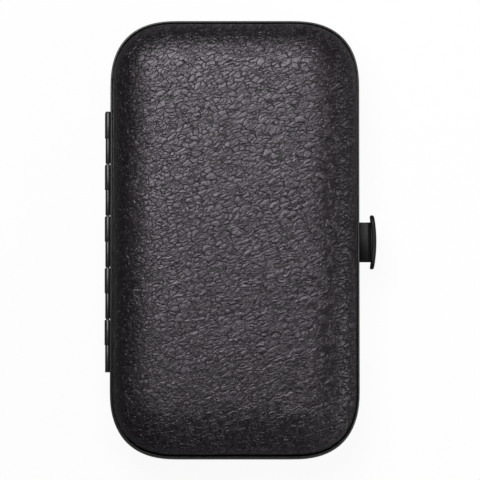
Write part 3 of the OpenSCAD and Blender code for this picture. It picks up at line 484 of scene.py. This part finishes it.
def soften(shape, width, segments=2, least=40):
    """Rounds the edges that are sharper than an angle in degrees."""
    least = math.radians(least)
    sharp = [e for e in shape.edges if len(e.link_faces) == 2 and e.calc_face_angle(0) > least]
    bmesh.ops.bevel(
        shape, geom=sharp, offset=width, offset_type="OFFSET", segments=segments, profile=0.5,
        affect="EDGES", material=-1, clamp_overlap=True,
    )


def join(shape, part):
    """Adds one shape to another."""
    mesh = bpy.data.meshes.new("part")
    part.to_mesh(mesh)
    part.free()
    shape.from_mesh(mesh)
    bpy.data.meshes.remove(mesh)


def cut(piece, cutter_shape):
    """Takes a solid out of a piece for good."""
    mesh = bpy.data.meshes.new("cutter")
    cutter_shape.to_mesh(mesh)
    cutter_shape.free()
    cutter = bpy.data.objects.new("cutter", mesh)
    bpy.context.scene.collection.objects.link(cutter)
    saw = piece.modifiers.new("saw", "BOOLEAN")
    saw.operation = "DIFFERENCE"
    saw.solver = "EXACT"
    saw.object = cutter
    bpy.context.view_layer.update()
    seen = piece.evaluated_get(bpy.context.evaluated_depsgraph_get())
    sawn = bpy.data.meshes.new_from_object(seen)
    piece.modifiers.clear()
    piece.data = sawn
    bpy.data.objects.remove(cutter)


def crisp(piece, angle=35):
    """Smooth faces with hard edges where they meet at more than an angle in degrees."""
    shape = bmesh.new()
    shape.from_mesh(piece.data)
    for face in shape.faces:
        face.smooth = True
    for edge in shape.edges:
        edge.smooth = edge.is_manifold and edge.calc_face_angle(0) < math.radians(angle)
    shape.to_mesh(piece.data)
    shape.free()
    return piece


def knuckle_y(k):
    """Middle of a knuckle along the case, counted from its upper end."""
    return fitting_y + knuckle_pitch * (knuckle_count / 2 - k - 0.5)


def knuckle(shape, k, way):
    """A tongue of the frame's sheet, rolled round the pin. Every second joint between two is a wider gap."""
    roll_r = (1.06 if way > 0 else 0.88) * mm           # the lid's are rolled a little wider
    wide, tight = 0.44 * mm, 0.06 * mm                  # gaps to the neighbours
    start, turn = math.radians(38), math.radians(338)   # from the case's side round to it again
    ends = []
    for side, joint in ((1, k), (-1, k + 1)):
        gap = wide if joint % 2 == 0 and 0 < joint < knuckle_count else tight
        ends.append(knuckle_y(k) + side * (knuckle_pitch - gap) / 2)
    strip = bmesh.new()
    middle_r = roll_r - roll_t / 2
    x, z = axis_x + middle_r * math.cos(start), part_z + way * middle_r * math.sin(start)
    corners = [strip.verts.new((x, y, z)) for y in ends]
    bmesh.ops.spin(
        strip, geom=[*corners, strip.edges.new(corners)], cent=(axis_x, 0, part_z), axis=(0, -way, 0),
        angle=turn, steps=40, use_duplicate=False,
    )
    bmesh.ops.recalc_face_normals(strip, faces=strip.faces)
    first, middle = strip.faces[0], Vector((axis_x, knuckle_y(k), part_z))
    if first.normal.dot(first.calc_center_median() - middle) < 0:
        bmesh.ops.reverse_faces(strip, faces=strip.faces)
    bmesh.ops.solidify(strip, geom=strip.faces, thickness=roll_t)
    bmesh.ops.recalc_face_normals(strip, faces=strip.faces)
    soften(strip, 0.06 * mm, least=50)
    join(shape, strip)


def lacquer(name, tone, gloss, wear, shine=0.5):
    """Black stove lacquer on steel: a fine orange peel, and greyer, duller worn places."""
    peel_depth = 0.008 * mm
    material, tree, shader, in_mm = bare_material(name)
    peel = noise(tree, in_mm, 3.5, 2.0)
    wear_and_painted_highlight = ramp(tree, noise(tree, in_mm, 0.35, 6.0, 0.7), 0.50, 0.78)
    colour = scaled(tree, tone, ramp(tree, wear_and_painted_highlight, 0.0, 1.0, 1.0, wear))
    dull = ramp(tree, wear_and_painted_highlight, 0.0, 1.0, gloss, gloss + 0.10)
    coat(tree, shader, colour, dull, peel, peel_depth)
    shader.inputs["Specular IOR Level"].default_value = shine
    return material


black_lacquer = lacquer("black_lacquer", (0.019, 0.0183, 0.0192), 0.32, 1.7, 0.5)
for half, way, first in (("lid", 1, 0), ("base", -1, 1)):
    ring = channel([(inset * mm, height * mm) for inset, height in rim_rows], way)
    bmesh.ops.remove_doubles(ring, verts=ring.verts, dist=1e-6)
    rim = finished(half + "_rim", ring, half)
    notches = bmesh.new()
    for k in range(1 - first, knuckle_count, 2):
        side = (knuckle_pitch + knuckle_gap) / 2
        z = sorted((part_z - way * notch_near, part_z + way * notch_far))
        box(
            notches, (-half_w - saw_spare, knuckle_y(k) - side, z[0]),
            (-half_w + wall_t, knuckle_y(k) + side, z[1]),
        )
    if way < 0:
        side, up = stem_w / 2 + stem_gap, stem_t / 2 + stem_gap
        box(
            notches, (half_w - frame_w - saw_spare, fitting_y - side, stem_z - up),
            (half_w + saw_spare, fitting_y + side, stem_z + up),
        )
    cut(rim, notches)
    joined = bmesh.new()
    joined.from_mesh(rim.data)
    for k in range(first, knuckle_count, 2):
        knuckle(joined, k, way)
    joined.to_mesh(rim.data)
    joined.free()
    crisp(rim)
    rim.data.materials.append(black_lacquer)
    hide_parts(half + "_frame")


# ---- Hinge pin -----------------------------------------------------------------------------------------
# A blackened steel wire runs through the knuckles of both frames, so that the halves turn on it. Its ends
# are peened over, which keeps it in place.

wire_r = 0.498 * mm
peen_r, peen_t = 0.7 * mm, 0.35 * mm        # radius and thickness of a peened end
pin_spare = 0.15 * mm                       # how far the pin stands out of the outermost knuckles
half_pin = knuckle_pitch * knuckle_count / 2 + pin_spare
lengthways = Matrix.Rotation(math.pi / 2, 4, "X")
pin = bmesh.new()
for y, r, length in ((0, wire_r, 2 * half_pin), (-half_pin, peen_r, peen_t), (half_pin, peen_r, peen_t)):
    bmesh.ops.create_cone(
        pin, cap_ends=True, segments=32, radius1=r, radius2=r, depth=length,
        matrix=Matrix.Translation((axis_x, fitting_y + y, part_z)) @ lengthways,
    )
soften(pin, 0.1 * mm)
wire = crisp(finished("hinge_wire", pin, "base"))
wire.data.materials.append(lacquer("blackened_wire", (0.03, 0.029, 0.03), 0.42, 1.8))
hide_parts("hinge_pin")


# ---- Push button ---------------------------------------------------------------------------------------
# Thumb pad, stem and hook are pressed of one steel strip and lacquered like the frames. The pad is bowed,
# with round corners, and the stem turns up into it in a wide bend.

pad_w, pad_h, pad_t, pad_bow = 15.4 * mm, 7 * mm, 1.2 * mm, 0.7 * mm
pad_corner = 2.6 * mm
pad_strips = 24                             # strips across the pad, so that it bends smoothly
pad_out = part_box("release_button")[1].x
hook_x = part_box("release_button")[0].x
pad_radius = pad_w * pad_w / (8 * pad_bow) + pad_bow / 2
root = pad_out - pad_t * 0.6                # where the stem ends inside the pad
lip_h = 1.9 * mm                            # how far the stem turns up behind the pad
bend_r = 1.2 * mm
hook_w, hook_t = 8 * mm, 0.8 * mm
nose_x = 31.3 * mm                          # tip of the nose that holds the lid's catch
nose_z = part_z + 1.4 * mm                  # its under side
nose_tip, nose_t = 0.25 * mm, 0.7 * mm      # thickness of the sloping nose at its tip and at its root

button = bmesh.new()
bmesh.ops.create_grid(button, x_segments=1, y_segments=1, size=0.5)
bmesh.ops.scale(button, verts=button.verts, vec=(pad_w, pad_h, 1))
bmesh.ops.bevel(
    button, geom=list(button.verts), offset=pad_corner, offset_type="OFFSET", segments=8, profile=0.5,
    affect="VERTICES", material=-1,
)
bmesh.ops.solidify(button, geom=button.faces, thickness=pad_t)
bmesh.ops.recalc_face_normals(button, faces=button.faces)
soften(button, 0.5 * mm, segments=4, least=50)
for step in range(1, pad_strips):
    geom = [*button.verts, *button.edges, *button.faces]
    place = (pad_w * (step / pad_strips - 0.5), 0, 0)
    bmesh.ops.bisect_plane(button, geom=geom, plane_co=place, plane_no=(1, 0, 0))
front = max(v.co.z for v in button.verts)
for v in button.verts:
    y, z, depth = v.co.x, v.co.y, v.co.z - front
    bow = math.sqrt(pad_radius ** 2 - y * y) - pad_radius
    v.co = (pad_out + bow + depth, fitting_y + y, stem_z + z)
bmesh.ops.recalc_face_normals(button, faces=button.faces)


def bar(shape, section, width):
    """A bar across the clasp's middle, with a section given as corners in x and z."""
    side = fitting_y - width / 2
    face = shape.faces.new([shape.verts.new((x, side, z)) for x, z in section])
    made = bmesh.ops.extrude_face_region(shape, geom=[face])["geom"]
    moved = [item for item in made if isinstance(item, bmesh.types.BMVert)]
    bmesh.ops.translate(shape, verts=moved, vec=(0, width, 0))


low, high = stem_z - stem_t / 2, stem_z + stem_t / 2
lip_x, lip_top = root - stem_t, high + lip_h
stem = bmesh.new()
bar(
    stem,
    [(hook_x, low), (root, low), (root, lip_top), (lip_x, lip_top), (lip_x, high), (hook_x, high)],
    stem_w,
)
inner_corner = {v for v in stem.verts if abs(v.co.x - lip_x) < 1e-6 and abs(v.co.z - high) < 1e-6}
bend = [e for e in stem.edges if inner_corner.issuperset(e.verts)]
bmesh.ops.bevel(
    stem, geom=bend, offset=bend_r, offset_type="OFFSET", segments=8, profile=0.5, affect="EDGES",
    material=-1,
)
bmesh.ops.recalc_face_normals(stem, faces=stem.faces)
soften(stem, 0.14 * mm, least=50)
join(button, stem)

hook = bmesh.new()
bar(
    hook,
    [(hook_x, low), (hook_x + hook_t, low), (hook_x + hook_t, nose_z), (nose_x, nose_z),
     (nose_x, nose_z + nose_tip), (hook_x + hook_t, nose_z + nose_t), (hook_x, nose_z + nose_t)],
    hook_w,
)
bmesh.ops.recalc_face_normals(hook, faces=hook.faces)
soften(hook, 0.08 * mm, least=50)
join(button, hook)
button_piece = crisp(finished("push_button", button, "release_button"))
button_piece.data.materials.append(lacquer("button_lacquer", (0.009, 0.0086, 0.0092), 0.40, 1.8, 0.15))
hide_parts("release_button")


# ---- Clasp works ---------------------------------------------------------------------------------------
# Behind the button sits a bowed leaf spring in a folded housing, and in the lid a catch plate with a window.
# All are stamped of dull plated steel, and rivets hold plate and housing to the frames' inner walls.

def machined(name, node_name, body, width, segments=2):
    """A copy of a CAD piece with its edges broken, as tumbling or polishing leaves them."""
    weld = 0.004 * mm
    shape = bmesh.new()
    shape.from_mesh(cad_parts[node_name].data)
    bmesh.ops.remove_doubles(shape, verts=shape.verts, dist=weld)
    bmesh.ops.dissolve_degenerate(shape, edges=shape.edges, dist=weld)
    bmesh.ops.dissolve_limit(shape, angle_limit=math.radians(1), verts=shape.verts, edges=shape.edges)
    if width:
        soften(shape, width, segments, least=32)
    piece = crisp(finished(name, shape, body), angle=40)
    shading = piece.modifiers.new("flat_faces_stay_flat", "WEIGHTED_NORMAL")
    shading.keep_sharp = True
    return piece


def metal(name, tone, gloss, brush=(1, 1, 1), brush_depth=0.004, smudge=0.12, tarnish=0.8):
    """Bare or plated metal: a direction of brushing, faint handling marks and slightly uneven colour."""
    material, tree, shader, in_mm = bare_material(name)
    lines = noise(tree, vector_calc(tree, "MULTIPLY", in_mm, brush), 4.0, 3.0)
    marks = ramp(tree, noise(tree, in_mm, 0.16, 5.0, 0.6), 0.40, 0.70)
    shade = ramp(tree, lines, 0.3, 0.7, 0.93, 1.04)
    shade = calc(tree, "MULTIPLY", shade, ramp(tree, marks, 0.0, 1.0, 1.0, tarnish))
    dull = ramp(tree, marks, 0.0, 1.0, gloss, gloss + smudge)
    coat(tree, shader, scaled(tree, tone, shade), dull, lines, brush_depth * mm)
    shader.inputs["Metallic"].default_value = 0.85
    return material


plating = metal("dull_plating", (0.42, 0.42, 0.43), 0.42, (0.3, 3, 3), 0.006)
for name, node_name, body, width in (
    ("catch_plate", "lid_catch", "lid", 0.12),
    ("catch_rivet_heads", "catch_rivets", "lid", 0.18),
    ("spring_housing", "clasp_housing", "base", 0.12),
    ("housing_rivet_heads", "housing_rivets", "base", 0.18),
):
    stamped = machined(name, node_name, body, width * mm)
    stamped.data.materials.append(plating)
    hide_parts(node_name)

spring = machined("leaf_spring", "clasp_spring", "base", 0)
spring.data.materials.append(plating)
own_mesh(spring)
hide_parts("clasp_spring")


# ---- Foam and steel shells -----------------------------------------------------------------------------
# Under each cover lies a sheet of grey foam on a shell pressed of thin steel, all held by the frame. They
# show only as edges between lining and cover.

foam_t, shell_t = 1.3 * mm, 0.5 * mm
shell_step = 1.6 * mm


def open_foam(name, tone):
    """Open-celled foam: fine dark cells in a matt grey."""
    cell_depth = 0.05 * mm
    material, tree, shader, in_mm = bare_material(name)
    cells = node(tree, "ShaderNodeTexVoronoi", {"Vector": in_mm, "Scale": 4.0}).outputs["Distance"]
    colour = scaled(tree, tone, ramp(tree, cells, 0.1, 0.7, 0.55, 1.1))
    coat(tree, shader, colour, ramp(tree, cells, 0.1, 0.7, 1.0, 0.85), cells, cell_depth)
    return material


foam = open_foam("grey_foam", (0.3, 0.3, 0.31))
pressed_sheet = metal("pressed_sheet", (0.55, 0.55, 0.56), 0.38, (1, 1, 1), 0.008)
under_foam = cover_t + foam_t
under_shell = under_foam + shell_t
for half, way in (("lid", 1), ("base", -1)):
    pad = dome_layer(half + "_foam_sheet", half, way, cover_t, under_foam, shell_step)
    pad.data.materials.append(foam)
    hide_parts(half + "_foam")
    pan = dome_layer(half + "_steel_pan", half, way, under_foam, under_shell, shell_step)
    pan.data.materials.append(pressed_sheet)
    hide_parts(half + "_shell")


# ---- Lid lining ----------------------------------------------------------------------------------------
# Short black velvet is glued into the lid's shell, down to the top of the frame's inner wall. It covers the
# bare steel over the scissors.

lining_t = 0.6 * mm
lining_step = 0.8 * mm


def pile(name, tone, sheen, depth):
    """Velvet or flock: a short matt pile, brushed this way and that, which lightens towards its edges."""
    material, tree, shader, in_mm = bare_material(name)
    strokes = noise(tree, in_mm, 0.18, 4.0)
    fibres = noise(tree, in_mm, 6.0, 3.0, 0.7)
    shade = ramp(tree, strokes, 0.35, 0.65, 0.7, 1.3)
    shade = calc(tree, "MULTIPLY", shade, ramp(tree, fibres, 0.3, 0.7, 0.6, 1.4))
    relief = calc(tree, "ADD", fibres, calc(tree, "MULTIPLY", strokes, 1.5))
    dull = ramp(tree, fibres, 0.3, 0.7, 1.0, 0.85)
    coat(tree, shader, scaled(tree, tone, shade), dull, relief, depth)
    shader.inputs["Specular IOR Level"].default_value = 0.25
    shader.inputs["Sheen Weight"].default_value = sheen
    shader.inputs["Sheen Roughness"].default_value = 0.4
    return material


lining = dome_layer("velvet_lining", "lid", 1, under_shell, under_shell + lining_t, lining_step, tuck_in=0)
lining.data.materials.append(pile("black_velvet", (0.035, 0.032, 0.035), 0.5, 0.10 * mm))
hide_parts("lid_lining")


# ---- Flocked tray --------------------------------------------------------------------------------------
# The tray is vacuum formed of black plastic and flocked all over, with a recess for each tool, a thumb notch
# at the clipper and a channel for the fingers across the others.

tray = machined("flocked_tray", "base_tray", "base", 0.35 * mm, 3)
tray.data.materials.append(pile("black_flock", (0.030, 0.028, 0.030), 0.35, 0.06 * mm))
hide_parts("base_tray")


# ---- Scissors, clipper, tweezers, file and pusher ------------------------------------------------------
# The tools are forged or stamped of stainless steel. Scissors and clipper are polished bright, tweezers and
# pusher have a satin grind, and the file's blade is cut with fine teeth and set in a plastic grip.

bright = metal("polished_steel", (0.62, 0.62, 0.63), 0.25, (1, 1, 1), 0.0004, 0.03, 0.98)
satin = metal("satin_steel", (0.48, 0.48, 0.49), 0.38, (6, 0.35, 6), 0.004, 0.05, 0.95)
for name, node_name, body, width, finish, slot in (
    ("scissor_half_fixed", "scissor_fixed_half", "lid", 0.32, bright, "tool_steel"),
    ("scissor_half_moving", "scissor_moving_half", "scissor_moving_half", 0.32, bright, "tool_steel"),
    ("scissor_pivot_screw", "scissor_screw", "lid", 0.12, bright, "tool_steel"),
    ("clipper_leaf_lower", "clipper_lower_leaf", "base", 0.18, bright, "tool_steel"),
    ("clipper_leaf_upper", "clipper_upper_leaf", "base", 0.18, bright, "tool_steel"),
    ("clipper_tail_rivet", "clipper_rivet", "base", 0.12, bright, "tool_steel"),
    ("clipper_lever_arm", "clipper_lever", "clipper_lever", 0.25, bright, "tool_steel"),
    ("clipper_post", "clipper_pin", "clipper_lever", 0.12, bright, "tool_steel"),
    ("tweezer_arms", "tweezers", "base", 0.12, satin, "satin_steel"),
    ("pusher_rod", "cuticle_pusher", "base", 0.14, satin, "satin_steel"),
):
    tool = machined(name, node_name, body, width * mm)
    tool.data.materials.append(finish)
    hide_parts(node_name)


def waves(tree, value, pitch):
    """A row of rounded ridges, from -1 to 1, at a pitch in millimetres."""
    return calc(tree, "SINE", calc(tree, "MULTIPLY", value, 2 * math.pi / pitch))


def cut_teeth(name, tone):
    """A file's crossed rows of fine teeth, cut into satin steel."""
    tooth_slope, tooth_pitch, tooth_depth = 0.8, 0.55, 0.045 * mm
    material = metal(name, tone, 0.36, (1, 1, 1), 0.002)
    tree = material.node_tree
    place = tree.nodes.new("ShaderNodeTexCoord").outputs["Object"]
    x, y, z = node(tree, "ShaderNodeSeparateXYZ", {0: scaled(tree, place, 1 / mm)}).outputs
    rows = [
        waves(tree, calc(tree, "ADD", y, calc(tree, "MULTIPLY", x, slope)), tooth_pitch)
        for slope in (tooth_slope, -tooth_slope)
    ]
    teeth = calc(tree, "MAXIMUM", *rows)
    bump = node(tree, "ShaderNodeBump", {"Height": teeth, "Strength": 1.0, "Distance": tooth_depth})
    tree.links.new(bump.outputs[0], tree.nodes["Principled BSDF"].inputs["Normal"])
    return material


blade = machined("file_steel_blade", "file_blade", "base", 0.12 * mm)
blade.data.materials.append(cut_teeth("file_teeth", (0.5, 0.5, 0.51)))
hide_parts("file_blade")

grip = machined("file_grip", "file_handle", "base", 0.3 * mm, 3)
grip.data.materials.append(lacquer("black_plastic", (0.022, 0.022, 0.024), 0.16, 1.3))
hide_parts("file_handle")


# ---- Strap and pocket ----------------------------------------------------------------------------------
# The scissors hang in the lid by an elastic strap over one ring and with their tips in a stiff pocket of
# smooth leatherette on card, glued to the lining.

def elastic(name, tone):
    """Woven elastic: raised ribs along the strap, crossed by fine threads."""
    rib_pitch, thread_pitch, weave_depth = 0.6, 0.3, 0.04 * mm
    material, tree, shader, in_mm = bare_material(name)
    x, y, z = node(tree, "ShaderNodeSeparateXYZ", {0: in_mm}).outputs
    threads = waves(tree, calc(tree, "ADD", y, z), thread_pitch)
    weave = calc(tree, "ADD", waves(tree, x, rib_pitch), calc(tree, "MULTIPLY", threads, 0.5))
    colour = scaled(tree, tone, ramp(tree, weave, -1.5, 1.5, 0.5, 1.5))
    coat(tree, shader, colour, ramp(tree, weave, -1.5, 1.5, 0.95, 0.7), weave, weave_depth)
    shader.inputs["Specular IOR Level"].default_value = 0.3
    shader.inputs["Sheen Weight"].default_value = 0.2
    return material


strap = machined("elastic_strap", "scissor_strap", "lid", 0.2 * mm, 3)
strap.data.materials.append(elastic("black_elastic", (0.030, 0.029, 0.031)))
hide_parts("scissor_strap")

pocket = machined("leather_pocket", "tip_pocket", "lid", 0.22 * mm, 3)
pocket.data.materials.append(leather("pocket_leather", (0.014, 0.012, 0.014), 0.3, 0.3, 0.0))
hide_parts("tip_pocket")
